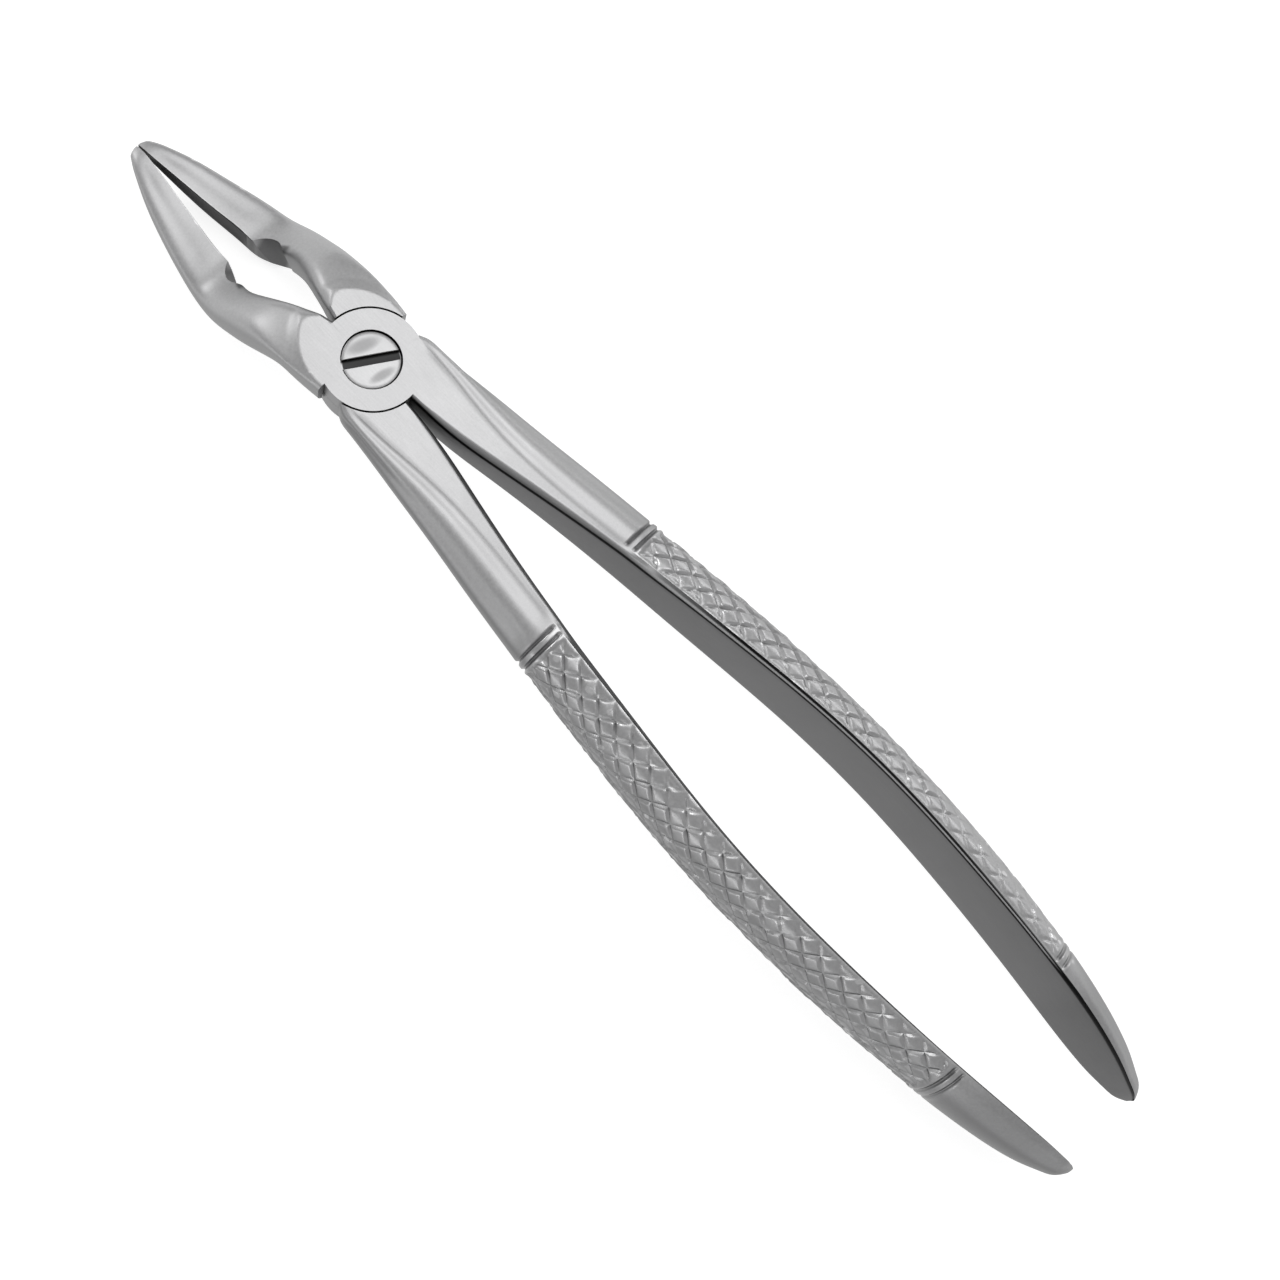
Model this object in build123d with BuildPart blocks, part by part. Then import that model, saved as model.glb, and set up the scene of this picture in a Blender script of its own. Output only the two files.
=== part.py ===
"""Extraction forceps, English pattern, with bayonet beaks for upper roots.

Two crossed halves turn on a slotted screw. The pivot axis is Z, the beaks point
along +Y and the handles along -Y, and the origin is on the pivot axis, in the flat
underside of the joint.
"""
from build123d import *
from math import copysign, cos, radians, sin, tan
import os

# Joint
JOINT_THICKNESS = 7.0
DISC_RADIUS = 6.8
SHOULDER_RADIUS = 7.05
LAP_CLEARANCE = 0.06
LAP_HEIGHT = JOINT_THICKNESS / 2

# The roots of the limbs beside the disc
ROOT_INNER = 0.4
ROOT_START = 1.5
ROOT_END = 8.0
ROOT_CHAMFER = 1.6

# Joint screw
HEAD_RADIUS = 3.9
HEAD_POCKET_RADIUS = 3.98
HEAD_THICKNESS = 1.7
HEAD_FLOAT = 0.02
JOURNAL_RADIUS = 2.6
JOURNAL_CLEARANCE = 0.03
THREAD_RADIUS = 2.2
SLOT_WIDTH = 1.15
SLOT_DEPTH = 0.8
SLOT_ANGLE = -30.5
EDGE_BREAK = 0.15

# The bevels beside the flat inner faces, as breadth over depth.
TOP_BEVEL = 0.8
LOW_BEVEL = 0.6
LEAST_BEVEL = 0.05

# Handles: the flat inner faces lean apart towards the top by this angle.
FLAT_LEAN = 3.8
HANDLE_MID = 3.7
HANDLE_LENGTH = 136.0
GRIP_END = 114.0

# Beaks
TIP_Y = 44.0
TIP_GAP = 0.1
RELIEF_RADIUS = 3.0
RELIEF_CENTRE = (1.1, 20.9, -3.8)
RELIEF_LEAN = 33.0
RELIEF_LENGTH = 20.0

os.makedirs("parts", exist_ok=True)


def section(y, inner, outer, low, high, flat_low, flat_high, squareness, lean=0.0):
    """A D-shaped section across the long axis, flat towards the mid-plane, on the +X side.

    The flat runs from flat_low to flat_high, two bevels join it to the low and high
    faces, and a superellipse bulges to outer.
    """
    mid = (low + high) / 2
    slope = tan(radians(lean))
    foot = (inner + slope * (flat_low - mid), flat_low)
    head = (inner + slope * (flat_high - mid), flat_high)
    top = head[0] + TOP_BEVEL * max(high - flat_high, LEAST_BEVEL)
    bottom = foot[0] + LOW_BEVEL * max(flat_low - low, LEAST_BEVEL)
    power = 2 / squareness
    bulge = []
    for angle in (90, 60, 30, 0, -30, -60, -90):
        rise = copysign(abs(sin(radians(angle))) ** power, angle)
        reach = abs(cos(radians(angle))) ** power
        start = top if angle > 0 else bottom
        bulge.append((start + (outer - start) * reach, mid + (high - mid) * rise))
    plane = Plane(origin=(0, y, 0), x_dir=(1, 0, 0), z_dir=(0, -1, 0))
    with BuildSketch(plane) as profile:
        with BuildLine():
            Line(foot, head)
            Line(head, bulge[0])
            Spline(*bulge)
            Line(bulge[-1], foot)
        make_face()
    return profile.sketch


def handle_station(y, inner, outer, height, flat, squareness, mid=HANDLE_MID, lean=FLAT_LEAN):
    return section(
        y, inner, outer, mid - height / 2, mid + height / 2, mid - flat / 2, mid + flat / 2, squareness, lean
    )


# The arm behind the joint is as thick as the joint and grows into the flat-backed grip.
with BuildPart() as handle_limb:
    loft(sections=[
        handle_station(-ROOT_END, ROOT_INNER, 8.4, JOINT_THICKNESS, 5.6, 3.4, LAP_HEIGHT, 0.4),
        handle_station(-14.0, 0.9, 9.2, JOINT_THICKNESS, 4.4, 3.1, LAP_HEIGHT, 1.2),
        handle_station(-21.0, 2.15, 10.1, 7.4, 4.9, 2.9, 3.55, 2.2),
        handle_station(-30.0, 3.85, 11.4, 8.3, 6.2, 2.7, 3.6),
        handle_station(-40.0, 5.5, 12.65, 9.7, 8.3, 2.4),
        handle_station(-50.0, 6.9, 13.9, 11.1, 10.2, 2.3),
        handle_station(-60.0, 8.2, 14.9, 12.35, 11.7, 2.1),
        handle_station(-72.0, 9.45, 15.7, 13.6, 13.0, 2.0, 3.6),
        handle_station(-86.0, 10.0, 15.9, 14.6, 14.0, 2.0, 3.5),
        handle_station(-100.0, 9.5, 15.2, 15.2, 14.6, 2.0, 3.2),
        handle_station(-GRIP_END, 8.45, 13.6, 15.5, 15.0, 2.0, 2.8),
        handle_station(-123.0, 7.45, 12.1, 14.6, 14.2, 2.0, 2.4),
        handle_station(-130.0, 6.3, 10.2, 11.6, 11.2, 2.0, 2.4),
        handle_station(-134.2, 5.6, 8.5, 6.8, 6.4, 2.0, 3.0),
        handle_station(-HANDLE_LENGTH, 5.3, 7.3, 1.8, 1.5, 2.0, 3.6),
    ])

# The shank steps down from the joint to the beak, which runs parallel to the handles.
with BuildPart() as beak_limb:
    loft(sections=[
        section(ROOT_END, ROOT_INNER, 8.0, 0.0, 7.0, 4.2, 5.9, 4.5),
        section(9.5, 0.75, 8.3, -1.2, 6.8, 4.0, 5.3, 4.0),
        section(12.0, 1.45, 8.5, -2.8, 5.7, 2.8, 4.2, 3.5),
        section(14.5, 2.3, 8.7, -4.5, 4.1, 1.2, 2.8, 3.2),
        section(17.0, 2.95, 8.85, -6.1, 2.2, -2.0, 1.3, 3.0),
        section(20.0, 3.0, 8.85, -7.6, -0.4, -6.4, -0.9, 3.0),
        section(23.0, 2.4, 8.45, -8.3, -2.6, -7.6, -2.8, 3.0),
        section(26.0, 2.1, 7.85, -8.4, -3.4, -7.9, -3.6, 2.8),
        section(30.0, 1.65, 6.85, -8.3, -3.6, -7.9, -3.7, 2.6),
        section(34.0, 1.2, 5.7, -8.0, -3.5, -7.6, -3.6, 2.5),
        section(38.0, 0.65, 4.35, -6.9, -3.4, -6.6, -3.5, 2.4),
        section(41.0, 0.3, 3.05, -5.9, -3.4, -5.7, -3.5, 2.3),
        section(43.0, TIP_GAP, 1.9, -5.3, -3.6, -5.1, -3.7, 2.2),
        section(TIP_Y, TIP_GAP, 0.95, -4.9, -3.9, -4.8, -4.0, 2.2),
    ])
    with Locations(Location(RELIEF_CENTRE, (-RELIEF_LEAN, 0, 0))):
        Cylinder(RELIEF_RADIUS, RELIEF_LENGTH, mode=Mode.SUBTRACT)

# The square roots of the limbs, beside and behind the disc.
with BuildPart() as handle_root:
    with BuildSketch(Plane.XY):
        with BuildLine():
            Line((ROOT_INNER, -ROOT_START), (6.9, -ROOT_START))
            Polyline((6.9, -ROOT_START), (7.6, -4.0), (8.2, -ROOT_END), (ROOT_INNER, -ROOT_END))
            Line((ROOT_INNER, -ROOT_END), (ROOT_INNER, -ROOT_START))
        make_face()
    extrude(amount=JOINT_THICKNESS)
    chamfer(handle_root.faces().sort_by(Axis.Z)[0].edges().sort_by(Axis.X)[-2:], ROOT_CHAMFER)

with BuildPart() as beak_root:
    with BuildSketch(Plane.XY):
        with BuildLine():
            Line((ROOT_INNER, ROOT_START), (7.1, ROOT_START))
            Polyline((7.1, ROOT_START), (7.5, 4.0), (7.7, ROOT_END), (ROOT_INNER, ROOT_END))
            Line((ROOT_INNER, ROOT_END), (ROOT_INNER, ROOT_START))
        make_face()
    extrude(amount=JOINT_THICKNESS)
    chamfer(beak_root.faces().sort_by(Axis.Z)[0].edges().sort_by(Axis.X)[-2:], ROOT_CHAMFER)

# The upper half: its disc lies on top, with a pocket for the screw's head.
with BuildPart() as upper_half:
    add(handle_limb.part)
    add(handle_root.part)
    add(mirror(beak_limb.part, about=Plane.YZ, mode=Mode.PRIVATE))
    add(mirror(beak_root.part, about=Plane.YZ, mode=Mode.PRIVATE))
    with BuildSketch(Plane.XY):
        Circle(SHOULDER_RADIUS)
    extrude(amount=LAP_HEIGHT + LAP_CLEARANCE / 2, mode=Mode.SUBTRACT)
    with BuildSketch(Plane.XY.offset(LAP_HEIGHT + LAP_CLEARANCE / 2)):
        Circle(DISC_RADIUS)
    extrude(amount=LAP_HEIGHT - LAP_CLEARANCE / 2)
    with Locations((0, 0, JOINT_THICKNESS)):
        CounterBoreHole(
            radius=JOURNAL_RADIUS + JOURNAL_CLEARANCE,
            counter_bore_radius=HEAD_POCKET_RADIUS,
            counter_bore_depth=HEAD_THICKNESS + HEAD_FLOAT,
            depth=JOINT_THICKNESS,
        )
upper_half.part.label = "upper_half"
export_step(upper_half.part, "parts/upper_half.step")

# The lower half: its disc lies below, with the threaded hole for the screw.
with BuildPart() as lower_half:
    add(mirror(handle_limb.part, about=Plane.YZ, mode=Mode.PRIVATE))
    add(mirror(handle_root.part, about=Plane.YZ, mode=Mode.PRIVATE))
    add(beak_limb.part)
    add(beak_root.part)
    with BuildSketch(Plane.XY.offset(LAP_HEIGHT - LAP_CLEARANCE / 2)):
        Circle(SHOULDER_RADIUS)
    extrude(amount=JOINT_THICKNESS, mode=Mode.SUBTRACT)
    with BuildSketch(Plane.XY):
        Circle(DISC_RADIUS)
    extrude(amount=LAP_HEIGHT - LAP_CLEARANCE / 2)
    with Locations((0, 0, JOINT_THICKNESS)):
        Hole(radius=THREAD_RADIUS, depth=2 * JOINT_THICKNESS)
lower_half.part.label = "lower_half"
export_step(lower_half.part, "parts/lower_half.step")

# The joint screw: a slotted head, a plain journal and a threaded end riveted flush below.
with BuildPart() as joint_screw:
    with BuildSketch(Plane.XY):
        Circle(THREAD_RADIUS)
    extrude(amount=LAP_HEIGHT - LAP_CLEARANCE / 2)
    with BuildSketch(Plane.XY.offset(LAP_HEIGHT - LAP_CLEARANCE / 2)):
        Circle(JOURNAL_RADIUS)
    extrude(amount=JOINT_THICKNESS - HEAD_THICKNESS - LAP_HEIGHT + LAP_CLEARANCE / 2)
    with BuildSketch(Plane.XY.offset(JOINT_THICKNESS - HEAD_THICKNESS)):
        Circle(HEAD_RADIUS)
    extrude(amount=HEAD_THICKNESS)
    chamfer(joint_screw.faces().sort_by(Axis.Z)[-1].edges(), EDGE_BREAK)
    with BuildSketch(Plane.XY.offset(JOINT_THICKNESS).rotated((0, 0, SLOT_ANGLE))):
        Rectangle(4 * HEAD_RADIUS, SLOT_WIDTH)
    extrude(amount=-SLOT_DEPTH, mode=Mode.SUBTRACT)
joint_screw.part.label = "joint_screw"
export_step(joint_screw.part, "parts/joint_screw.step")
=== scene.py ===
"""Looks for the extraction forceps: detailed steel halves, the joint screw, materials, light and camera."""
import math

import bmesh
import bpy
import numpy as np
from mathutils import Matrix, Vector


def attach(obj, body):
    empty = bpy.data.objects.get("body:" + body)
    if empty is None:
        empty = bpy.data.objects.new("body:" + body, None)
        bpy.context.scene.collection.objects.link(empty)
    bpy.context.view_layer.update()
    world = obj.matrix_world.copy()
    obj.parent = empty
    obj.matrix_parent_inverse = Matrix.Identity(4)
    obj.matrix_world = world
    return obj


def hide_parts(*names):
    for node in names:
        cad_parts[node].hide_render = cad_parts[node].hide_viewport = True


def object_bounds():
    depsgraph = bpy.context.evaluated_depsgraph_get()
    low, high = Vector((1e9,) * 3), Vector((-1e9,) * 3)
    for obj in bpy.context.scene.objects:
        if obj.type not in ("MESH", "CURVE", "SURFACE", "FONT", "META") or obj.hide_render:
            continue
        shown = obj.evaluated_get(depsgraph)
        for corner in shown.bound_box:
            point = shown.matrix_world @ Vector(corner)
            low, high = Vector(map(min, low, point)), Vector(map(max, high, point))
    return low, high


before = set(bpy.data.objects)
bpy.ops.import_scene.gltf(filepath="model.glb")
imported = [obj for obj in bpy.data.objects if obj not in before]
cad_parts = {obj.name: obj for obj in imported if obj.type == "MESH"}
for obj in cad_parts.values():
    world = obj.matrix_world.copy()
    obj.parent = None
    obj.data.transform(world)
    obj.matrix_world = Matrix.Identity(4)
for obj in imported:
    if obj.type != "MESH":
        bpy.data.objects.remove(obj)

MM = 0.001
cad_box = [list(corner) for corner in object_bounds()]

# ---------------------------------------------------------------- sizes, in millimetres
JOINT_TOP = 7.0
LAP_HEIGHT = 3.5
LAP_CLEARANCE = 0.06
DISC_RADIUS = 6.8
SHOULDER_RADIUS = 7.05
HEAD_RADIUS = 3.86
HEAD_OFFSET = -0.09  # the head sits a little to one side in its pocket
POCKET_RADIUS = 3.97
HEAD_FLOOR = 5.3
JOURNAL_RADIUS = 2.52
THREAD_RADIUS = 2.2
BORE_RADIUS = 2.63
SLOT_WIDTH = 1.25
SLOT_DEPTH = 0.8
SLOT_ANGLE = math.radians(-30.5)
SPARE = 0.03  # how far a limb stands proud of the joint's faces before it is ground flat
SEAM = 13.0  # distance from the pivot at which the cut joint part meets the free part of a limb
HANDLE_START = -1.6
BEAK_START = 1.6
CUT_BOTTOM = -1.0  # cutting tools reach from here
CUT_TOP = 9.0  # to here
GROUND_CENTRE = (-0.83, 2.8)  # the arc in which the joint's flat top face ends on the shank
GROUND_RADIUS = 8.04
GROUND_BACK = -13.9  # the joint's faces are ground flat from here
GROUND_FRONT = 8.3  # to here, on the underside
RELIEF_RADIUS = 3.0  # the notch between shank and beak
RELIEF_PLACE = (1.2, 20.6, -3.8)
RELIEF_LEAN = math.radians(33.0)
RELIEF_REACH = 10.0
SHARP_ANGLE = math.radians(32)
WELD = 4e-6  # metres


# ---------------------------------------------------------------- curves and sections
def smooth_curve(*knots):
    """A natural cubic spline through (y, value) knots."""
    x = np.array([k[0] for k in knots], float)
    v = np.array([k[1] for k in knots], float)
    order = np.argsort(x)
    x, v = x[order], v[order]
    n = len(x)
    h = np.diff(x)
    a = np.eye(n)
    b = np.zeros(n)
    for i in range(1, n - 1):
        a[i, i - 1: i + 2] = h[i - 1], 2 * (h[i - 1] + h[i]), h[i]
        b[i] = 6 * ((v[i + 1] - v[i]) / h[i] - (v[i] - v[i - 1]) / h[i - 1])
    m = np.linalg.solve(a, b)

    def value(y):
        y = float(np.clip(y, x[0], x[-1]))
        i = min(int(np.searchsorted(x, y, side="right")) - 1, n - 2)
        i = max(i, 0)
        p, q = x[i + 1] - y, y - x[i]
        return (m[i] * p ** 3 + m[i + 1] * q ** 3) / (6 * h[i]) + (v[i] / h[i] - m[i] * h[i] / 6) * p + (
            v[i + 1] / h[i] - m[i + 1] * h[i] / 6) * q

    return value


def smoothstep(x, low, high):
    t = np.clip((x - low) / (high - low), 0.0, 1.0)
    return t * t * (3 - 2 * t)


def corner(point, before, after, radius):
    """Five points that round a corner between the directions to before and after."""
    point, before, after = (np.array(p, float) for p in (point, before, after))
    to_before = before - point
    to_after = after - point
    reach_before = min(radius, 0.45 * np.linalg.norm(to_before))
    reach_after = min(radius, 0.45 * np.linalg.norm(to_after))
    start = point + to_before / max(np.linalg.norm(to_before), 1e-9) * reach_before
    end = point + to_after / max(np.linalg.norm(to_after), 1e-9) * reach_after
    t = np.linspace(0, 1, 5)[:, None]
    return (1 - t) ** 2 * start + 2 * t * (1 - t) * point + t ** 2 * end


def between(a, b, count, bulge=0.0):
    """Points strictly between a and b, pushed left of the direction of travel by bulge in the middle."""
    t = np.linspace(0, 1, count + 2)[1:-1, None]
    along = b - a
    length = max(np.linalg.norm(along), 1e-9)
    normal = np.array((-along[1], along[0])) / length
    return a + along * t + normal * bulge * 4 * t * (1 - t)


def resample(points, count):
    """count points at equal spacing along a polyline, ends included."""
    step = np.linalg.norm(np.diff(points, axis=0), axis=1)
    s = np.concatenate(([0.0], np.cumsum(step)))
    want = np.linspace(0, s[-1], count)
    return np.column_stack([np.interp(want, s, points[:, k]) for k in range(2)])


def offset_in(points, depth):
    """Moves each point of a curve inwards (to the right of travel) by its own depth."""
    tangent = np.gradient(points, axis=0)
    tangent /= np.maximum(np.linalg.norm(tangent, axis=1), 1e-9)[:, None]
    normal = np.column_stack((tangent[:, 1], -tangent[:, 0]))
    return points + normal * np.asarray(depth)[:, None]


def shell_arc(top, outer, bottom, waist, square_top, square_low, count):
    """The convex side of a section: two superellipse quarters that meet at outer, at the height of the waist."""
    angle = np.radians(np.linspace(90, -90, 361))
    power = np.where(angle > 0, 2 / square_top, 2 / square_low)
    rise = np.abs(np.sin(angle)) ** power
    reach = np.abs(np.cos(angle)) ** power
    start = np.where(angle > 0, top[0], bottom[0])
    height = np.where(angle > 0, waist + (top[1] - waist) * rise, waist - (waist - bottom[1]) * rise)
    return resample(np.column_stack((start + (outer - start) * reach, height)), count)


# ---------------------------------------------------------------- the handle
PYRAMID = 16  # columns and rows across one diamond of the grip
ACROSS = 6  # diamonds across the convex side
ARC = PYRAMID * ACROSS + 1
GRIP_PITCH = 3.5  # one diamond along the handle
GRIP_DEPTH = 0.42
GRIP_END = -114.0
GROOVE = 0.17  # half the breadth of a groove, as a share of a diamond
DICE = 400  # side of the table of lifts and tilts, more than the diamonds along a grip
TAIL_END = -134.0
HANDLE_END = -135.7
FLUTES = ((0.05, 0.27, 0.045), (0.30, 0.42, 0.07))  # place across the convex side, depth and breadth
COLLAR_FRONT = {1: -39.3, -1: -40.6}  # where the first collar lies on each side

handle_inner = smooth_curve((0, 0.2), (-8, 0.35), (-14, 0.85), (-21, 2.1), (-30, 3.8), (-40, 5.45), (-50, 6.85),
                            (-60, 8.15), (-72, 9.45), (-86, 10.0), (-100, 9.55), (-114, 8.5), (-123, 7.45),
                            (-128, 6.75), (-131, 6.3), (-133.5, 5.95), (-135, 5.85), (-135.7, 5.95))
handle_outer = smooth_curve((0, 6.6), (-1.4, 6.95), (-2.3, 7.5), (-4.1, 7.95), (-8, 8.4), (-14, 9.2), (-21, 10.1),
                            (-30, 11.4), (-40, 12.7), (-50, 13.95), (-60, 15.0), (-72, 15.8), (-86, 15.93),
                            (-100, 15.25), (-114, 13.7), (-123, 12.15), (-128, 10.95), (-131, 9.95), (-133.5, 8.85),
                            (-135, 7.85), (-135.7, 6.9))
handle_high = smooth_curve((0, 7.0), (-4, 7.0), (-8, 7.0), (-11, 7.0), (-14, 7.0), (-17, 7.07), (-21, 7.25),
                           (-30, 7.75), (-40, 8.5), (-50, 9.25), (-60, 9.85), (-72, 10.4), (-86, 10.8),
                           (-100, 10.85), (-114, 10.6), (-123, 9.8), (-128, 8.6), (-131, 7.4), (-133.5, 6.0),
                           (-135, 4.7), (-135.7, 3.4))
handle_low = smooth_curve((0, 0.0), (-8, 0.0), (-14, 0.0), (-21, -0.15), (-30, -0.55), (-40, -1.15), (-50, -1.85),
                          (-60, -2.5), (-72, -3.2), (-86, -3.8), (-100, -4.4), (-114, -5.0), (-123, -5.0),
                          (-128, -4.4), (-131, -3.4), (-133.5, -2.0), (-135, -0.6), (-135.7, 0.8))
handle_waist = smooth_curve((0, 4.3), (-14, 4.2), (-30, 3.9), (-60, 3.7), (-100, 3.4), (-123, 2.8), (-131, 2.2),
                            (-135.7, 2.1))
handle_bevel = smooth_curve((0, 0.5), (-8, 0.6), (-14, 0.9), (-21, 1.0), (-30, 0.9), (-40, 0.7), (-50, 0.5),
                            (-60, 0.45), (-114, 0.4), (-130, 0.3), (-136, 0.2))
handle_lean = smooth_curve((0, 0.2), (-8, 0.4), (-14, 1.2), (-21, 2.2), (-30, 3.8), (-60, 3.8), (-136, 3.8))
square_top = smooth_curve((0, 3.4), (-8, 3.2), (-14, 3.0), (-21, 2.8), (-30, 2.6), (-40, 2.4), (-60, 2.1),
                          (-80, 2.0), (-136, 2.0))
square_low = smooth_curve((0, 2.2), (-14, 2.2), (-30, 2.3), (-40, 2.3), (-60, 2.1), (-80, 2.0), (-136, 2.0))
facet_edge = smooth_curve((0, 6.2), (-3, 6.3), (-6, 6.2), (-9, 6.0), (-12, 5.7), (-16, 5.35), (-20, 5.2),
                          (-25, 5.35), (-30, 5.75), (-35, 6.3), (-40, 6.85), (-50, 8.0), (-60, 9.15), (-72, 10.35),
                          (-86, 10.85), (-100, 10.35), (-114, 9.25), (-123, 8.2), (-130, 7.1), (-136, 5.9))


def handle_ring(y, spare):
    """The section of a handle at y: flat towards the other handle, fluted in front of the grip."""
    high, low = handle_high(y), handle_low(y)
    at_grip = float(smoothstep(-y, 38.0, 46.0))
    half = (high - low) / 2
    bevel = min(handle_bevel(y), 0.6 * half)
    slope = math.tan(math.radians(handle_lean(y)))
    inner = handle_inner(y)
    head = (inner + slope * (half - bevel), high - bevel - 0.4 * at_grip)
    foot = (inner - slope * (half - bevel), low + bevel)
    brow = (head[0] + 0.8 * bevel, high + spare - 0.5 * (at_grip * (1 - float(smoothstep(-y, 112.0, 122.0)))))
    sole = (foot[0] + 0.8 * bevel, low - spare)
    outer = handle_outer(y)
    edge = (min(facet_edge(y), outer - 0.6), high + spare)
    heel = (edge[0], low - spare)
    arc = shell_arc(edge, outer, heel, handle_waist(y), square_top(y), square_low(y), ARC)
    t = np.linspace(0, 1, ARC)
    flute = smoothstep(-y, 1.4, 6.0) * (1 - smoothstep(-y, 38.0, 41.0))
    depth = np.zeros(ARC)
    for side in (t, 1 - t):
        for place, deep, breadth in FLUTES:
            depth += flute * deep * np.exp(-((side - place) / breadth) ** 2)
    depth += (0.28 * smoothstep(-y, 117.0, 122.0) * (1 - smoothstep(-y, 131.0, 135.0))
              * np.exp(-((t - 0.14) / 0.07) ** 2))
    arc = offset_in(arc, depth)
    for _ in range(14):
        arc[1:-1] = 0.5 * arc[1:-1] + 0.25 * (arc[:-2] + arc[2:])
    at_head = corner(head, foot, brow, 0.34)
    at_brow = corner(brow, head, edge, 0.15)
    at_sole = corner(sole, heel, foot, 0.15)
    at_foot = corner(foot, sole, head, 0.12)
    return np.vstack((
        at_head, at_brow, between(at_brow[-1], arc[0], 5), arc, between(arc[-1], at_sole[0], 5),
        at_sole, at_foot, between(at_foot[-1], at_head[0], 9)))


ARC_START = 5 + 5 + 5  # two rounded corners and the points between come before the arc in a handle ring


# ---------------------------------------------------------------- the beak
beak_inner = smooth_curve((0, 0.2), (8, 0.4), (9.5, 0.75), (12, 1.55), (14.5, 2.45), (17, 3.25), (18.5, 3.5), (20, 3.3),
                          (21.5, 2.9), (23, 2.4), (26, 2.05), (30, 1.6), (34, 1.1), (38, 0.6), (41, 0.25), (43, 0.1),
                          (44, 0.1))
beak_outer = smooth_curve((0, 7.5), (1.5, 7.65), (4, 7.95), (8, 8.25), (9.5, 8.35), (12, 8.55), (14.5, 8.75),
                          (17, 8.85), (20, 8.85), (23, 8.45), (26, 7.85), (30, 6.85), (34, 5.7), (38, 4.35), (41, 3.05),
                          (42.5, 2.3), (43.4, 1.75), (43.8, 1.3), (44, 0.75))
beak_low = smooth_curve((0, -0.2), (6, -0.2), (8, -0.2), (9.5, -1.0), (12, -2.8), (14.5, -4.5), (17, -6.1), (20, -7.6),
                        (23, -8.3), (26, -8.38), (30, -8.3), (34, -8.0), (38, -6.9), (41, -5.9), (43, -5.3),
                        (44, -4.8))
beak_high = smooth_curve((0, 7.2), (6, 7.4), (8, 7.35), (10, 6.85), (12, 5.95), (14, 4.75), (16, 3.2), (18, 1.45),
                         (20, -0.4), (22, -2.15), (23.8, -3.2), (26, -3.5), (30, -3.65), (34, -3.6), (38, -3.4),
                         (41, -3.4), (43, -3.6), (44, -4.0))
beak_flat_low = smooth_curve((0, 1.5), (8, 3.0), (9.5, 3.4), (12, 2.4), (14.5, 0.4), (17, -3.0), (20, -6.4), (23, -7.6),
                             (26, -7.9), (30, -7.9), (34, -7.6), (38, -6.6), (41, -5.7), (43, -5.1), (44, -4.8))
beak_flat_high = smooth_curve((0, 6.4), (8, 6.5), (9.5, 6.1), (12, 5.1), (14.5, 3.6), (17, 1.7), (20, -0.9),
                              (23, -2.9), (26, -3.7), (30, -3.8), (34, -3.7), (38, -3.5), (41, -3.5), (43, -3.7),
                              (44, -4.1))
beak_square = smooth_curve((0, 9.0), (5, 8.5), (9, 5.0), (13, 3.8), (17, 3.4), (22, 3.8), (26, 4.6), (34, 4.2),
                           (40, 3.4), (44, 2.6))
beak_square_low = smooth_curve((0, 2.6), (9, 2.6), (17, 2.8), (26, 2.8), (34, 2.5), (44, 2.3))
BEAK_ARC = 81


def beak_ring(y, spare):
    """The section of a shank or beak at y, with a concave gripping face along the beak."""
    inner, outer = beak_inner(y), beak_outer(y)
    high, low = beak_high(y) + spare, beak_low(y) - spare
    flat_high, flat_low = beak_flat_high(y), beak_flat_low(y)
    head, foot = (inner, flat_high), (inner, flat_low)
    brow = (inner + 0.5 * max(high - flat_high, 0.05), high)
    sole = (inner + 0.6 * max(flat_low - low - spare, 0.05), low)
    waist = (high + low) / 2 + 0.6 * (1 - float(smoothstep(y, 8.0, 16.0)))
    arc = shell_arc(brow, outer, sole, waist, beak_square(y), beak_square_low(y), BEAK_ARC)
    t = np.linspace(0, 1, BEAK_ARC)
    hollow = smoothstep(y, 24.5, 28.0) * (1 - smoothstep(y, 38.0, 42.5))
    depth = hollow * 0.13 * np.exp(-((t - 0.2) / 0.09) ** 2)
    arc = offset_in(arc, depth)
    grip = smoothstep(y, 25.0, 26.5) * (1 - smoothstep(y, 39.0, 43.0))
    at_head = corner(head, foot, brow, 0.1)
    at_foot = corner(foot, sole, head, 0.1)
    ring = np.vstack((
        at_head, arc, at_foot, between(at_foot[-1], at_head[0], 13, -0.75 * grip)))
    soft = smoothstep(y, 8.5, 11.0) * (1 - smoothstep(y, 20.0, 23.0))
    reach = np.arange(len(ring))
    weight = 0.5 * soft * np.exp(-((np.minimum(reach, len(ring) - reach) - 4.0) / 5.0) ** 2)[:, None]
    for _ in range(60 if soft > 0 else 0):  # rounds the brow off along the shank
        ring += weight * ((np.roll(ring, 1, axis=0) + np.roll(ring, -1, axis=0)) / 2 - ring)
    return ring


# ---------------------------------------------------------------- meshes
def no_spare(y):
    return 0.0


def handle_spare(y):
    """The handle's root stands proud of the joint's faces, so that grinding leaves it flat."""
    return SPARE * (1 - float(smoothstep(-y, 9.0, 11.0)))


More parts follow.
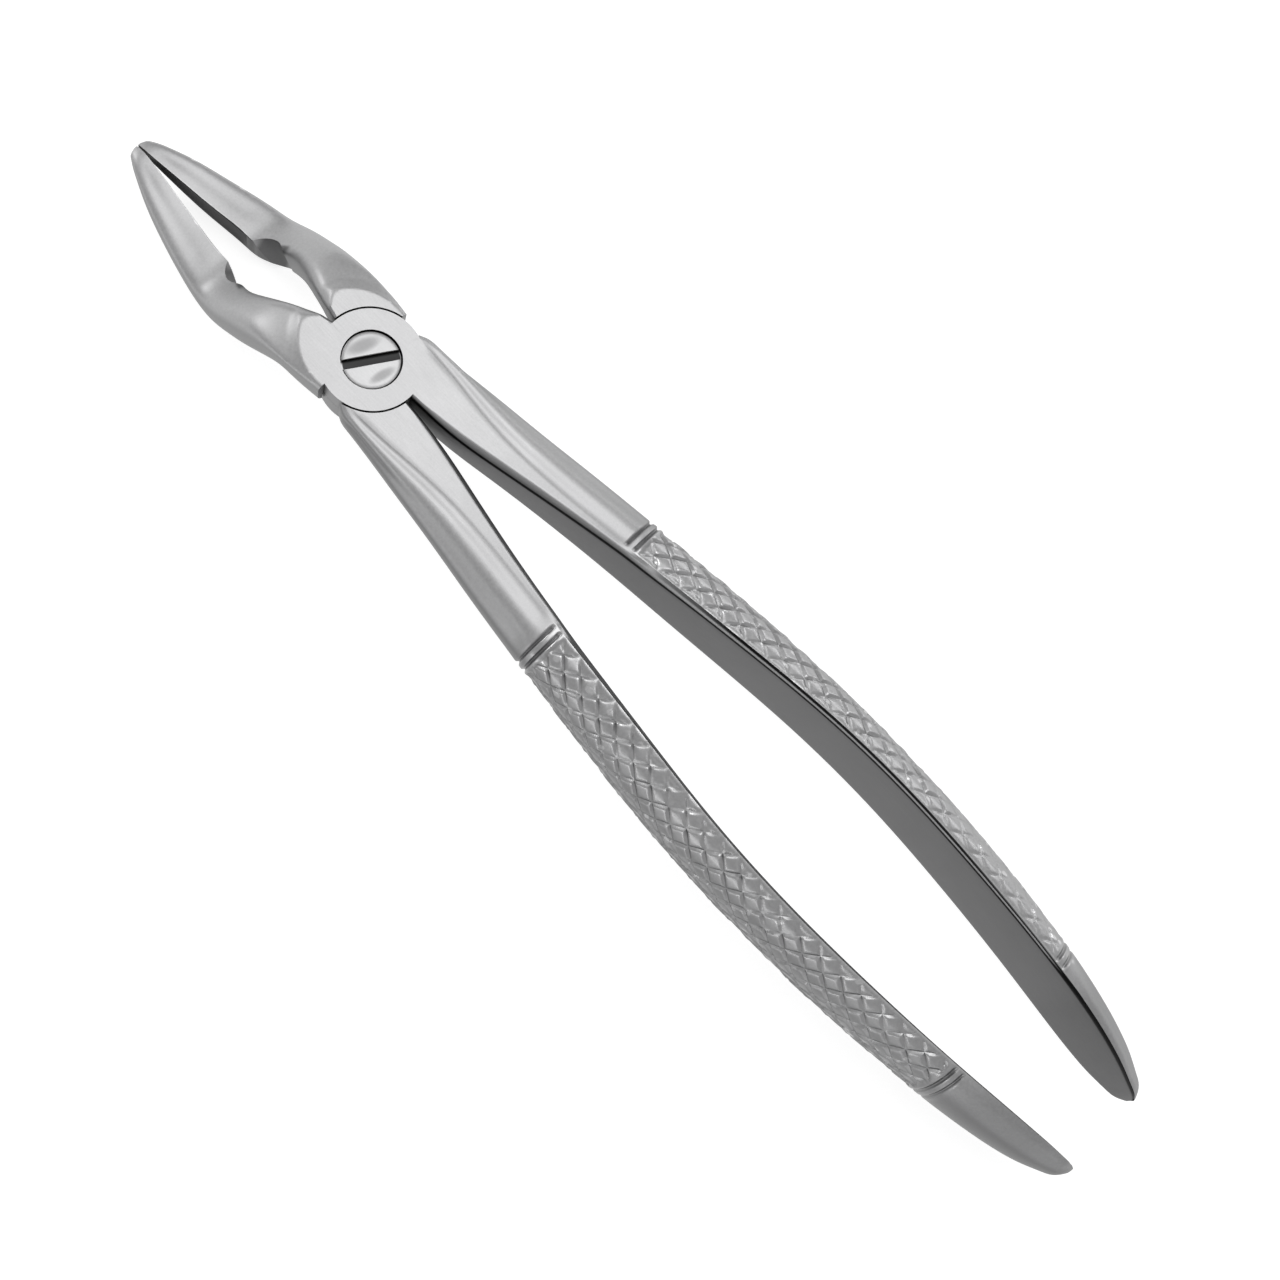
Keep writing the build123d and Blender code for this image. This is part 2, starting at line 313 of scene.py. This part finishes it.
def grind(points, side):
    """Holds a limb between the flat faces of the joint, as if ground on a stone.

    On the shank the top face ends in an arc, and the surface falls away beyond it."""
    x, y, z = side * points[:, 0], points[:, 1], points[:, 2]
    outside_disc = np.hypot(x, y) > DISC_RADIUS + 0.02
    away = np.hypot(x - GROUND_CENTRE[0], y - GROUND_CENTRE[1]) - GROUND_RADIUS
    away = np.where((y > 0) & outside_disc, np.clip(away, 0.0, None), 0.0)
    roof = JOINT_TOP - 0.3 * (1 - np.exp(-away / 0.35)) - 0.25 * away
    blend = 1.4 * smoothstep(away, 0.0, 1.5)
    share = np.clip(0.5 + 0.5 * (roof - z) / np.maximum(blend, 1e-6), 0.0, 1.0)
    lowered = roof * (1 - share) + z * share - blend * share * (1 - share)
    top = (y > GROUND_BACK) & (z > LAP_HEIGHT + 0.1) & (share < 1.0)
    low = (y > GROUND_BACK) & (y < GROUND_FRONT) & (z < 0.0)
    points[top, 2] = lowered[top]
    points[low, 2] = 0.0
    return points


def grind_half(points, handle_side):
    beak = points[:, 1] > 0
    points[beak] = grind(points[beak], -handle_side)
    points[~beak] = grind(points[~beak], handle_side)
    return points


def rows_down(low, high, step):
    """Evenly spaced y values from high down to low, about step apart."""
    count = max(2, int(round((high - low) / step)) + 1)
    return list(np.linspace(high, low, count))


def loft(ys, ring, side, spare):
    """Rings of points across the limb on one side, one ring for each y."""
    rings = []
    for y in ys:
        section = ring(y, spare(y))
        rings.append(np.column_stack((side * section[:, 0], np.full(len(section), y), section[:, 1])))
    return np.array(rings)


def grid_faces(rings, columns, flip, cap_first, cap_last, start=0):
    """Squares between neighbouring rings of points, with a cap on either end if asked."""
    faces = []
    for i in range(rings - 1):
        for j in range(columns):
            k = (j + 1) % columns
            faces.append((i * columns + j, i * columns + k, (i + 1) * columns + k, (i + 1) * columns + j))
    if cap_first:
        faces.append(tuple(range(columns))[::-1])
    if cap_last:
        faces.append(tuple(range((rings - 1) * columns, rings * columns)))
    faces = [tuple(start + v for v in face) for face in faces]
    return [face[::-1] for face in faces] if flip else faces


def split_grip(faces, columns, first_row, last_row):
    """Cuts the squares of the grip into triangles, along the grooves where one passes."""
    split = []
    for index, face in enumerate(faces):
        i, j = divmod(index, columns)
        row, arc = i - first_row, j - ARC_START
        if 0 <= row < last_row - first_row and 0 <= arc < ARC - 1:
            a, b, c, d = face
            along_other = (row + arc + 1) % PYRAMID == 0 or ((row - arc) % PYRAMID != 0 and (row + arc) % 2)
            split += [(a, b, d), (b, c, d)] if along_other else [(a, b, c), (a, c, d)]
        else:
            split.append(face)
    return split


def new_object(name, points, faces):
    mesh = bpy.data.meshes.new(name)
    mesh.from_pydata([tuple(p) for p in np.asarray(points) * MM], [], faces)
    obj = bpy.data.objects.new(name, mesh)
    bpy.context.scene.collection.objects.link(obj)
    return obj


def make_outward(obj):
    work = bmesh.new()
    work.from_mesh(obj.data)
    bmesh.ops.recalc_face_normals(work, faces=work.faces)
    work.to_mesh(obj.data)
    work.free()


def closed_loft(name, rings, flip):
    rows, columns = rings.shape[:2]
    obj = new_object(name, rings.reshape(-1, 3), grid_faces(rows, columns, flip, True, True))
    make_outward(obj)
    return obj


def cylinder(name, radius, low, high, sides=256):
    angle = np.linspace(0, 2 * math.pi, sides, endpoint=False)
    ring = np.column_stack((radius * np.cos(angle), radius * np.sin(angle)))
    points = np.vstack([np.column_stack((ring, np.full(sides, z))) for z in (low, high)])
    return new_object(name, points, grid_faces(2, sides, False, True, True))


def combine(target, tool, operation):
    modifier = target.modifiers.new("combine", "BOOLEAN")
    modifier.operation = operation
    modifier.object = tool
    modifier.solver = "EXACT"
    depsgraph = bpy.context.evaluated_depsgraph_get()
    result = bpy.data.meshes.new_from_object(target.evaluated_get(depsgraph))
    target.modifiers.clear()
    old = target.data
    target.data = result
    bpy.data.meshes.remove(old)
    bpy.data.objects.remove(tool)


def points_of(mesh):
    flat = np.empty(len(mesh.vertices) * 3, np.float32)
    mesh.vertices.foreach_get("co", flat)
    return flat.reshape(-1, 3).astype(float) / MM


def set_points(mesh, points):
    mesh.vertices.foreach_set("co", (np.asarray(points) * MM).astype(np.float32).ravel())
    mesh.update()


def finish_shading(obj):
    obj.data.polygons.foreach_set("use_smooth", [True] * len(obj.data.polygons))
    obj.data.set_sharp_from_angle(angle=SHARP_ANGLE)


# ---------------------------------------------------------------- the grip
def diamonds(rows, columns, count):
    """How deep the grip is cut at each row and column: narrow grooves between slightly tilted flats."""
    u = ((rows + columns) % PYRAMID) / PYRAMID
    v = ((rows - columns) % PYRAMID) / PYRAMID
    a = (rows + columns) // PYRAMID % DICE
    b = (rows - columns) // PYRAMID % DICE
    dice = np.random.default_rng(7)
    lift = dice.uniform(0.0, 0.10, (DICE, DICE))[a, b]
    tilt = dice.uniform(0.10, 0.27, (DICE, DICE))[a, b]
    groove = np.maximum(1 - smoothstep(np.minimum(u, 1 - u), 0.0, GROOVE),
                        1 - smoothstep(np.minimum(v, 1 - v), 0.0, GROOVE))
    fade = smoothstep(np.minimum(columns, ARC - 1 - columns) / PYRAMID, 0.0, 0.35)
    ends = smoothstep(rows, 0, 3) * (1 - smoothstep(rows, count - 3, count))
    inside = (rows >= 0) & (rows <= count)
    flats = lift + tilt * u + 0.6 * tilt * (1 - v)
    return (GRIP_DEPTH * groove + (1 - groove) * flats) * fade * ends * inside


def handle_far(side):
    """Rings of the free part of the handle, and the first and last row of its diamond-cut grip."""
    front = COLLAR_FRONT[side]
    start = front - 1.6
    count = int((start - GRIP_END) / GRIP_PITCH * PYRAMID)
    grip = [start - k * GRIP_PITCH / PYRAMID for k in range(count + 1)]
    back = grip[-1]
    arm = rows_down(front + 0.6, -SEAM, 0.4)
    collar = rows_down(start, front + 0.6, 0.1)
    back_collar = rows_down(back - 2.4, back, 0.1)
    tail = rows_down(TAIL_END, back - 2.4, 0.4)
    tip = rows_down(HANDLE_END, TAIL_END, 0.1)
    ys = np.array(arm + collar[1:] + grip[1:] + back_collar[1:] + tail[1:] + tip[1:])
    first_grip = len(arm) + len(collar) - 2
    rings = loft(ys, handle_ring, side, no_spare)
    rows, columns = np.meshgrid(np.arange(len(ys)) - first_grip, np.arange(ARC), indexing="ij")
    depth = diamonds(rows, columns, count)
    if side > 0:
        depth *= (1 - 0.6 * smoothstep(-ys, 84.0, 98.0))[:, None]
    across = smoothstep(np.minimum(columns, ARC - 1 - columns) / PYRAMID, 0.0, 0.25)
    for collar_front in (front, back - 0.6):
        for setback, deep, breadth in ((0.0, 0.36, 0.24), (0.6, -0.12, 0.3), (1.2, 0.36, 0.24)):
            ring = np.exp(-((ys - (collar_front - setback)) / breadth) ** 2)[:, None]
            depth += deep * ring * across
    arc = slice(ARC_START, ARC_START + ARC)
    for row in range(len(ys)):
        if depth[row].max() > 0:
            flat = np.column_stack((side * rings[row, arc, 0], rings[row, arc, 2]))
            moved = offset_in(flat, depth[row])
            rings[row, arc, 0] = side * moved[:, 0]
            rings[row, arc, 2] = moved[:, 1]
    return rings, first_grip, first_grip + count


# ---------------------------------------------------------------- the two halves
def joint_part(name, handle_side):
    """The roots of both limbs and the disc, with the lap and the screw's hole cut."""
    flip = handle_side < 0
    near_handle = loft(rows_down(-SEAM, HANDLE_START, 0.3), handle_ring, handle_side, handle_spare)
    near_beak = loft(rows_down(BEAK_START, SEAM, 0.3)[::-1], beak_ring, -handle_side, no_spare)
    body = closed_loft(name, near_handle, flip)
    beak = closed_loft("beak", near_beak, flip)
    combine(body, beak, "UNION")
    if handle_side > 0:
        disc = cylinder("disc", DISC_RADIUS, 2.0, JOINT_TOP + 0.5)
        relief = cylinder("relief", SHOULDER_RADIUS, -2.0, LAP_HEIGHT + LAP_CLEARANCE / 2)
        bores = (cylinder("pocket", POCKET_RADIUS, HEAD_FLOOR, CUT_TOP),
                 cylinder("bore", BORE_RADIUS, CUT_BOTTOM, CUT_TOP))
    else:
        disc = cylinder("disc", DISC_RADIUS, -0.5, 5.0)
        relief = cylinder("relief", SHOULDER_RADIUS, LAP_HEIGHT - LAP_CLEARANCE / 2, CUT_TOP)
        bores = (cylinder("bore", THREAD_RADIUS, CUT_BOTTOM, CUT_TOP),)
    combine(body, disc, "UNION")
    for tool in (relief, *bores):
        combine(body, tool, "DIFFERENCE")
    return body


def add_far_parts(body, handle_side):
    """Adds the free handle and beak to the joint part, in place of its caps at the seams."""
    far_handle, first_grip, last_grip = handle_far(handle_side)
    far_beak_ys = rows_down(SEAM, 43.0, 0.25)[::-1] + rows_down(43.1, 44.0, 0.1)[::-1]
    far_beak = loft(far_beak_ys, beak_ring, -handle_side, no_spare)
    work = bmesh.new()
    work.from_mesh(body.data)
    caps = [face for face in work.faces
            if any(all(abs(v.co.y - seam * MM) < 2e-6 for v in face.verts) for seam in (SEAM, -SEAM))]
    bmesh.ops.delete(work, geom=caps, context="FACES_ONLY")
    for rings in (far_handle, far_beak):
        rows, count = rings.shape[:2]
        verts = [work.verts.new(p * MM) for p in rings.reshape(-1, 3)]
        faces = grid_faces(rows, count, False, False, True)
        if rings is far_handle:
            faces = split_grip(faces, count, first_grip, last_grip)
        for face in faces:
            work.faces.new([verts[i] for i in (face[::-1] if handle_side < 0 else face)])
    work.to_mesh(body.data)
    work.free()


def sew(body):
    """Joins the seams' doubled points and drops faces without area."""
    work = bmesh.new()
    work.from_mesh(body.data)
    bmesh.ops.remove_doubles(work, verts=work.verts, dist=WELD)
    bmesh.ops.dissolve_degenerate(work, dist=WELD, edges=work.edges)
    bmesh.ops.triangulate(work, faces=[f for f in work.faces if len(f.verts) > 4])
    bmesh.ops.recalc_face_normals(work, faces=work.faces)
    work.to_mesh(body.data)
    work.free()


def build_half(name, handle_side):
    """One forging: its handle on handle_side, its beak on the other side and half of the lap joint."""
    body = joint_part(name, handle_side)
    add_far_parts(body, handle_side)
    set_points(body.data, grind_half(points_of(body.data), handle_side))
    sew(body)
    notch = cylinder("notch", RELIEF_RADIUS, -RELIEF_REACH, RELIEF_REACH)
    place = Vector((-handle_side * RELIEF_PLACE[0], *RELIEF_PLACE[1:])) * MM
    notch.matrix_world = Matrix.Translation(place) @ Matrix.Rotation(-RELIEF_LEAN, 4, "X")
    combine(body, notch, "DIFFERENCE")
    finish_shading(body)
    return body


# ---------------------------------------------------------------- the screw
def build_screw():
    """Head, journal and riveted end turned from one profile, with the driver's slot cut across the head."""
    profile = [(0.0, 7.0), (1.2, 6.995), (2.4, 6.97), (3.3, 6.95), (3.7, 6.92), (3.81, 6.86), (HEAD_RADIUS, 6.78),
               (HEAD_RADIUS, HEAD_FLOOR + 0.02), (JOURNAL_RADIUS, HEAD_FLOOR), (JOURNAL_RADIUS, LAP_HEIGHT - 0.03),
               (THREAD_RADIUS - 0.11, LAP_HEIGHT - 0.04), (THREAD_RADIUS - 0.11, 0.1), (THREAD_RADIUS - 0.2, 0.0),
               (0.0, 0.0)]
    sides = 192
    points = [(0.0, 0.0, profile[0][1])]
    for radius, z in profile[1:-1]:
        for k in range(sides):
            angle = 2 * math.pi * k / sides
            points.append((HEAD_OFFSET + radius * math.cos(angle), radius * math.sin(angle), z))
    points.append((0.0, 0.0, profile[-1][1]))
    faces = [(0, 1 + k, 1 + (k + 1) % sides) for k in range(sides)]
    rings = len(profile) - 2
    faces += grid_faces(rings, sides, False, False, False, start=1)
    last = 1 + (rings - 1) * sides
    faces += [(last + k, len(points) - 1, last + (k + 1) % sides) for k in range(sides)]
    screw = new_object("joint_screw_shaped", np.array(points), faces)
    make_outward(screw)
    half = SLOT_WIDTH / 2
    floor_of_slot = JOINT_TOP - SLOT_DEPTH
    section = [(half + 0.07, 7.2), (half + 0.07, 6.97), (half, 6.88), (half, floor_of_slot + 0.06),
               (half - 0.06, floor_of_slot), (-half + 0.06, floor_of_slot), (-half, floor_of_slot + 0.06),
               (-half, 6.88), (-half - 0.07, 6.97), (-half - 0.07, 7.2)]
    along = Vector((math.cos(SLOT_ANGLE), math.sin(SLOT_ANGLE), 0))
    across = Vector((-along.y, along.x, 0))
    points = []
    for reach in (-5.0, 5.0):
        for v, z in section:
            place = along * reach + across * v
            points.append((place.x, place.y, z))
    cutter = new_object("slot_cutter", np.array(points), grid_faces(2, len(section), False, True, True))
    make_outward(cutter)
    combine(screw, cutter, "DIFFERENCE")
    finish_shading(screw)
    return screw


upper = build_half("upper_half_shaped", 1)
lower = build_half("lower_half_shaped", -1)
screw = build_screw()


# ---------------------------------------------------------------- materials
class Finish:
    """A metal finish built from nodes. Lengths are millimetres in the piece's own frame."""

    def __init__(self, name, metallic=1.0):
        self.material = bpy.data.materials.new(name)
        self.material.use_nodes = True
        self.nodes = self.material.node_tree.nodes
        self.links = self.material.node_tree.links
        self.shader = self.nodes["Principled BSDF"]
        self.shader.inputs["Metallic"].default_value = metallic
        texture = self.nodes.new("ShaderNodeTexCoord")
        scale = self.nodes.new("ShaderNodeVectorMath")
        scale.operation = "SCALE"
        scale.inputs["Scale"].default_value = 1 / MM
        self.links.new(texture.outputs["Object"], scale.inputs[0])
        self.place = scale.outputs["Vector"]
        self.x, self.y, self.z = self.split(self.place)
        self.nx, self.ny, self.nz = self.split(texture.outputs["Normal"])

    def split(self, vector):
        node = self.nodes.new("ShaderNodeSeparateXYZ")
        self.links.new(vector, node.inputs[0])
        return node.outputs

    def math(self, operation, *values, clamp=False):
        node = self.nodes.new("ShaderNodeMath")
        node.operation = operation
        node.use_clamp = clamp
        for socket, value in zip(node.inputs, values):
            if isinstance(value, (int, float)):
                socket.default_value = value
            else:
                self.links.new(value, socket)
        return node.outputs[0]

    def product(self, first, *others):
        for other in others:
            first = self.math("MULTIPLY", first, other)
        return first

    def total(self, first, *others):
        for other in others:
            first = self.math("ADD", first, other)
        return first

    def ramp(self, value, low, high, at_low=0.0, at_high=1.0):
        node = self.nodes.new("ShaderNodeMapRange")
        node.interpolation_type = "SMOOTHSTEP"
        self.links.new(value, node.inputs["Value"])
        for socket, number in (("From Min", low), ("From Max", high), ("To Min", at_low), ("To Max", at_high)):
            node.inputs[socket].default_value = number
        return node.outputs["Result"]

    def band(self, value, low, high, soft):
        """1 between low and high, 0 outside."""
        rise = self.ramp(value, low - soft, low + soft)
        fall = self.ramp(value, high - soft, high + soft, 1.0, 0.0)
        return self.product(rise, fall)

    def noise(self, per_mm, detail=3.0, stretch=(1.0, 1.0, 1.0), turn=(0.0, 0.0, 0.0)):
        mapping = self.nodes.new("ShaderNodeMapping")
        mapping.inputs["Scale"].default_value = [per_mm * k for k in stretch]
        mapping.inputs["Rotation"].default_value = turn
        self.links.new(self.place, mapping.inputs["Vector"])
        node = self.nodes.new("ShaderNodeTexNoise")
        node.inputs["Scale"].default_value = 1.0
        node.inputs["Detail"].default_value = detail
        self.links.new(mapping.outputs["Vector"], node.inputs["Vector"])
        return node.outputs["Fac"]

    def crevice(self, reach):
        """1 in the open, falling to 0 in gaps narrower than reach."""
        node = self.nodes.new("ShaderNodeAmbientOcclusion")
        node.samples = 8
        node.only_local = False
        node.inputs["Distance"].default_value = reach * MM
        return node.outputs["AO"]

    def pointiness(self):
        return self.nodes.new("ShaderNodeNewGeometry").outputs["Pointiness"]

    def radius(self):
        return self.math("SQRT", self.total(self.product(self.x, self.x), self.product(self.y, self.y)))

    def soft_ellipse(self, centre, degrees, length, breadth):
        """A soft ellipse on the top face, 1 in the middle."""
        x = self.math("SUBTRACT", self.x, centre[0])
        y = self.math("SUBTRACT", self.y, centre[1])
        c, s = math.cos(math.radians(degrees)), math.sin(math.radians(degrees))
        u = self.total(self.product(x, c / length), self.product(y, s / length))
        v = self.total(self.product(x, -s / breadth), self.product(y, c / breadth))
        return self.ramp(self.total(self.product(u, u), self.product(v, v)), 1.8, 0.1)

    def set_grey(self, value, warm=1.0):
        node = self.nodes.new("ShaderNodeCombineColor")
        self.links.new(value, node.inputs[0])
        self.links.new(value, node.inputs[1])
        self.links.new(self.math("MULTIPLY", value, warm), node.inputs[2])
        self.links.new(node.outputs[0], self.shader.inputs["Base Color"])

    def set_roughness(self, value):
        self.links.new(value, self.shader.inputs["Roughness"])

    def set_bump(self, height, depth, strength=1.0):
        node = self.nodes.new("ShaderNodeBump")
        node.inputs["Distance"].default_value = depth * MM
        node.inputs["Strength"].default_value = strength
        self.links.new(height, node.inputs["Height"])
        self.links.new(node.outputs["Normal"], self.shader.inputs["Normal"])


def satin_steel():
    """Satin forged steel: a fine blasted grain and brushed joint faces, with painted shade darkening the sides, inner
    flats, beak faces, notch and narrow gaps, and painted highlights in the grip's grooves.
    """
    look = Finish("satin_steel_finish")
    facing = look.product(look.nx, look.math("SIGN", look.x))
    behind = look.ramp(look.y, -4.0, -9.0)
    beak = look.ramp(look.y, 23.2, 24.4)
    beak_body = look.ramp(look.y, 24.5, 26.0)
    inner = look.product(look.ramp(facing, -0.62, -0.86), look.math("MAXIMUM", behind, beak))
    notch = look.product(look.ramp(facing, -0.05, -0.35), look.band(look.y, 19.6, 23.6, 0.4))
    beak_face_shade = look.product(look.ramp(facing, -0.3, -0.7), beak)
    inner_edge_shade = look.product(look.band(look.nz, 0.14, 0.56, 0.08), look.ramp(facing, -0.4, -0.6), behind)
    cloud = look.noise(0.12, 2.0)
    grain = look.noise(2.6, 3.0)
    fine = look.noise(8.0, 2.0)
    brushed = look.noise(1.0, 3.0, stretch=(6.0, 0.35, 1.0), turn=(0.0, 0.0, math.radians(62)))
    ground = look.product(look.ramp(look.nz, 0.985, 0.998), look.band(look.z, 6.9, 7.2, 0.05))
    drawn = look.noise(1.0, 3.0, stretch=(4.0, 0.08, 4.0))
    limbs = look.math("MAXIMUM", look.ramp(look.y, -14.0, -18.0), beak_body)
    grip = look.product(look.band(look.y, GRIP_END - 2.5, -40.5, 0.6), look.math("SUBTRACT", 1.0, inner))
    edge = look.product(look.ramp(look.pointiness(), 0.515, 0.58), look.math("MAXIMUM", grip, beak_body))
    hollow = look.product(look.ramp(look.pointiness(), 0.485, 0.43), limbs)
    # painted shade: surfaces in gaps narrower than 0.8 mm are darkened
    crevice_shade = look.ramp(look.crevice(0.8), 0.15, 0.80, 0.08, 1.0)
    value = look.math("MULTIPLY_ADD", cloud, 0.06, 0.43)
    value = look.math("MULTIPLY_ADD", look.math("SUBTRACT", grain, 0.5), 0.14, value)
    value = look.math("MULTIPLY_ADD", look.math("SUBTRACT", fine, 0.5), 0.10, value)
    value = look.math("MULTIPLY_ADD", look.product(look.math("SUBTRACT", brushed, 0.5), ground), 0.12, value)
    value = look.product(value, look.math("MULTIPLY_ADD", edge, 0.45, 1.0))
    # painted shade: concave creases on the limbs are darkened
    value = look.product(value, look.math("MULTIPLY_ADD", hollow, -0.35, 1.0))
    # painted highlight: in the grip the grooves are lightened
    value = look.product(value, look.math("MULTIPLY_ADD", look.product(hollow, grip), 1.0, 1.0))
    # painted shade: the inner flats, which face the other half, are darkened
    value = look.product(value, look.math("MULTIPLY_ADD", inner, -0.26, 1.0))
    # painted shade: the beak's gripping face, which faces the other beak, is darkened
    value = look.product(value, look.math("MULTIPLY_ADD", beak_face_shade, -0.5, 1.0))
    # painted shade: the notch between shank and beak is darkened
    value = look.product(value, look.math("MULTIPLY_ADD", notch, -0.6, 1.0))
    # painted shade: a nearly black line along the inner top edge of each handle
    value = look.product(value, look.math("MULTIPLY_ADD", inner_edge_shade, -0.93, 1.0))
    # painted shade: faces tilted away from straight up are darkened, most on the handles; faces turned downwards keep
    # the full tone
    handle_side_shade = look.math("MAXIMUM", look.ramp(look.nz, 0.30, 0.97, 0.38, 1.0), look.ramp(look.y, -3.0, 1.0))
    sides = look.math("MINIMUM", look.ramp(look.nz, 0.0, 0.9, 0.46, 1.0), handle_side_shade)
    sides = look.math("MAXIMUM", sides, look.ramp(look.nz, -0.35, -0.92))
    value = look.product(value, sides, crevice_shade, look.ramp(look.y, -117.0, -122.0, 1.0, 0.86))
    look.set_grey(look.math("MINIMUM", value, 0.85), 1.01)
    rough = look.math("MULTIPLY_ADD", grain, 0.12, 0.40)
    rough = look.math("MULTIPLY_ADD", look.product(drawn, inner), 0.06, rough)
    rough = look.math("MULTIPLY_ADD", edge, -0.10, rough)
    rough = look.math("MULTIPLY_ADD", grip, -0.13, rough)
    rough = look.math("MULTIPLY_ADD", ground, -0.02, rough)
    look.set_roughness(rough)
    height = look.total(look.product(grain, 0.5), look.product(fine, 0.3),
                        look.product(brushed, ground), look.product(drawn, inner))
    look.set_bump(height, 0.012, 0.5)
    return look.material


def turned_steel():
    """The screw: lightly turned head with two painted dark reflection patches on its top, and painted shade in the slot
    and narrow gaps.
    """
    look = Finish("screw_steel_finish")
    top = look.ramp(look.nz, 0.8, 0.95)
    brushed = look.noise(1.0, 3.0, stretch=(10.0, 0.6, 1.0), turn=(0.0, 0.0, math.radians(40)))
    grain = look.noise(6.0, 2.0)
    inside_rim = look.ramp(look.radius(), HEAD_RADIUS - 0.02, HEAD_RADIUS - 0.2)
    # painted shade: the slot's walls and floor are darkened almost to black
    slot = look.product(look.band(look.z, 5.9, 6.86, 0.06), inside_rim)
    edge = look.ramp(look.pointiness(), 0.53, 0.62)
    # painted shade: surfaces in gaps narrower than 0.5 mm are darkened
    gap_shade = look.ramp(look.crevice(0.5), 0.1, 0.8, 0.25, 1.0)
    value = look.math("MULTIPLY_ADD", look.math("SUBTRACT", brushed, 0.5), 0.16, 0.42)
    value = look.math("MULTIPLY_ADD", look.math("SUBTRACT", grain, 0.5), 0.06, value)
    # painted reflection: two soft dark patches on the head's top face
    reflection_patches = look.math("MAXIMUM", look.soft_ellipse((0.42, 2.07), -19, 2.1, 0.85),
                     look.soft_ellipse((-0.4, -2.4), -11, 1.7, 0.6))
    value = look.product(value, look.math("MULTIPLY_ADD", look.product(reflection_patches, top), -0.40, 1.0))
    value = look.product(value, look.math("MULTIPLY_ADD", edge, 0.4, 1.0))
    value = look.product(value, look.math("MULTIPLY_ADD", slot, -0.93, 1.0), gap_shade)
    look.set_grey(look.math("MINIMUM", value, 0.85), 1.01)
    look.set_roughness(look.math("MULTIPLY_ADD", brushed, 0.12, 0.32))
    look.set_bump(look.total(brushed, look.product(grain, 0.5)), 0.01, 0.5)
    return look.material


steel = satin_steel()
screw_steel = turned_steel()

for piece, body, node, slot, material in (
    (upper, "upper_half", "upper_half", "satin_steel", steel),
    (lower, "lower_half", "lower_half", "satin_steel", steel),
    (screw, "lower_half", "joint_screw", "screw_steel", screw_steel),
):
    piece.data.materials.clear()
    piece.data.materials.append(material)
    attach(piece, body)
    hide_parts(node)

# ---------------------------------------------------------------- floor, light, camera
floor_z = cad_box[0][2]
bpy.ops.mesh.primitive_plane_add(size=6.0, location=(0, -0.05, floor_z))
floor = bpy.context.object
floor.name = "floor"
paper = Finish("floor_paper", 0.0)
paper.shader.inputs["Base Color"].default_value = (0.45, 0.45, 0.45, 1)
paper.shader.inputs["Roughness"].default_value = 0.9
paper.shader.inputs["Specular IOR Level"].default_value = 0.1
paper.shader.inputs["Emission Color"].default_value = (1, 1, 1, 1)
paper.shader.inputs["Emission Strength"].default_value = 0.8
floor.data.materials.append(paper.material)


def area_light(name, place, aim, size, power):
    data = bpy.data.lights.new(name, "AREA")
    data.shape = "RECTANGLE"
    data.size, data.size_y = size
    data.energy = power
    lamp = bpy.data.objects.new(name, data)
    lamp.location = place
    lamp.rotation_euler = (Vector(aim) - Vector(place)).to_track_quat("-Z", "Y").to_euler()
    bpy.context.scene.collection.objects.link(lamp)


area_light("overhead", (0.14, 0.06, 0.6), (0, -0.04, 0), (0.42, 0.42), 1.14)
area_light("front_soft", (-0.06, 0.6, 0.3), (0, 0.02, 0), (0.2, 0.2), 0.6)
area_light("left_strip", (-0.6, -0.05, 0.16), (0, -0.05, 0), (0.5, 0.10), 0.35)
area_light("right_strip", (0.6, -0.05, 0.20), (0, -0.05, 0), (0.5, 0.10), 0.35)

world = bpy.data.worlds.new("studio")
world.use_nodes = True
world.node_tree.nodes["Background"].inputs["Color"].default_value = (1, 1, 1, 1)
world.node_tree.nodes["Background"].inputs["Strength"].default_value = 0.5
bpy.context.scene.world = world
bpy.context.scene.view_settings.view_transform = "Standard"

CAMERA_PLACE = (-69.55, -53.23, 271.65)
CAMERA_RIGHT = (0.70143, -0.69122, 0.17390)
CAMERA_UP = (0.66594, 0.72252, 0.18580)
CAMERA_BACK = (-0.25407, -0.01452, 0.96708)
SENSOR_WIDTH = 36.0
FOCAL_LENGTH = 60.83
camera_data = bpy.data.cameras.new("camera")
camera_data.sensor_width = SENSOR_WIDTH
camera_data.lens = FOCAL_LENGTH
camera_data.clip_start = 0.01
camera = bpy.data.objects.new("camera", camera_data)
turn = Matrix((CAMERA_RIGHT, CAMERA_UP, CAMERA_BACK)).transposed()
camera.matrix_world = Matrix.Translation(Vector(CAMERA_PLACE) * MM) @ turn.to_4x4()
bpy.context.scene.collection.objects.link(camera)
bpy.context.scene.camera = camera

bpy.context.view_layer.update()
